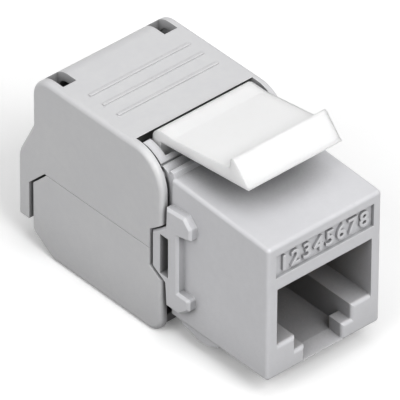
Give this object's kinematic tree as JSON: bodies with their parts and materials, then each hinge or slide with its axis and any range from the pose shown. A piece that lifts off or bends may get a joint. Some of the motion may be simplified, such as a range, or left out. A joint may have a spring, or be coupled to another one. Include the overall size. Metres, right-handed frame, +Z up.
{
  "type": "keystone_jack",
  "caption": "Toolless keystone jack for network cable in grey plastic, with a white sprung panel latch and two hinged rear covers.",
  "frame": {"origin": "the middle of the length and width at the level of the lower cover's flat underside", "axes": "+X across the port, +Y from the port back to the cable end, +Z up towards the panel latch"},
  "size_m": [0.0164, 0.0354, 0.0247],
  "materials": {
    "housing_plastic": "fine satin mould texture",
    "cover_plastic": "fine satin mould texture",
    "latch_plastic": "smooth satin",
    "carrier_plastic": "satin",
    "terminal_plastic": "satin",
    "contact_gold": "polished gold plating",
    "blade_tin": "dull tin plating",
    "board_laminate": "lacquered laminate"
  },
  "bodies": {
    "frame": {"jack_housing": "housing_plastic", "contact_carrier": "carrier_plastic", "circuit_board": "board_laminate", "upper_terminal_block": "terminal_plastic", "lower_terminal_block": "terminal_plastic", "contact_wire_1": "contact_gold", "contact_wire_2": "contact_gold", "contact_wire_3": "contact_gold", "contact_wire_4": "contact_gold", "contact_wire_5": "contact_gold", "contact_wire_6": "contact_gold", "contact_wire_7": "contact_gold", "contact_wire_8": "contact_gold", "idc_blade_1": "blade_tin", "idc_blade_2": "blade_tin", "idc_blade_3": "blade_tin", "idc_blade_4": "blade_tin", "idc_blade_5": "blade_tin", "idc_blade_6": "blade_tin", "idc_blade_7": "blade_tin", "idc_blade_8": "blade_tin"},
    "panel_latch": {"panel_latch": "latch_plastic"},
    "upper_cover": {"upper_cover": "cover_plastic", "upper_wire_presser": "terminal_plastic"},
    "lower_cover": {"lower_cover": "cover_plastic", "lower_wire_presser": "terminal_plastic"}
  },
  "joints": [
    {"name": "upper_cover_hinge", "type": "hinge", "parent": "frame", "child": "upper_cover", "pos_m": [0, -0.00225, 0.01845], "axis": [1, 0, 0], "range_deg": [0, 50]},
    {"name": "lower_cover_hinge", "type": "hinge", "parent": "frame", "child": "lower_cover", "pos_m": [0, -0.00245, 0.00485], "axis": [1, 0, 0], "range_deg": [-30, 0]},
    {"name": "panel_latch_hinge", "type": "hinge", "parent": "frame", "child": "panel_latch", "pos_m": [0, -0.0001, 0.01855], "axis": [1, 0, 0], "range_deg": [0, 8], "stiffness_Nm_per_rad": 0.02}
  ]
}
